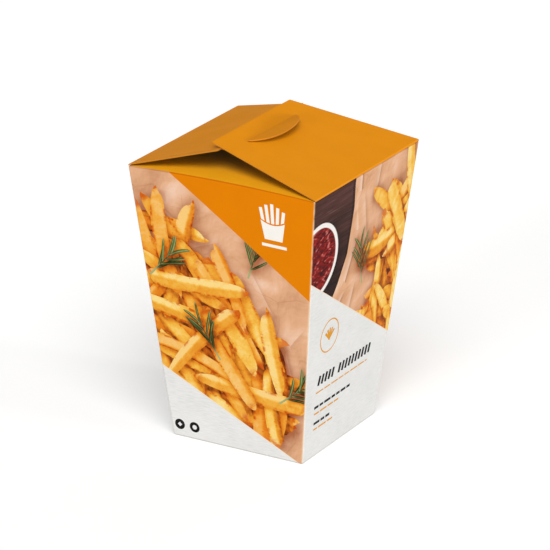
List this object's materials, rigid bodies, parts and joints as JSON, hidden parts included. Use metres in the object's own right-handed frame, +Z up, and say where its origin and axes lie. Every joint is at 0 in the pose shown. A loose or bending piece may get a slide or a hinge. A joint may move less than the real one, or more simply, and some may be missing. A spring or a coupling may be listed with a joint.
{
  "type": "takeaway food carton",
  "caption": "Shut square takeaway carton of folded printed card, wider at its top, with a low ridged roof held by a half-moon tongue in a slit.",
  "frame": {"origin": "middle of the base, on the surface that the carton stands on", "axes": "+Z up, -Y out of the front wall with the slanted orange field, +X out of the wall to its right, whose flap lies on top"},
  "size_m": [0.1, 0.1002, 0.1526],
  "materials": {
    "printed_card": "coated card, satin print"
  },
  "bodies": {
    "root": {"carton": "printed_card"}
  },
  "joints": []
}
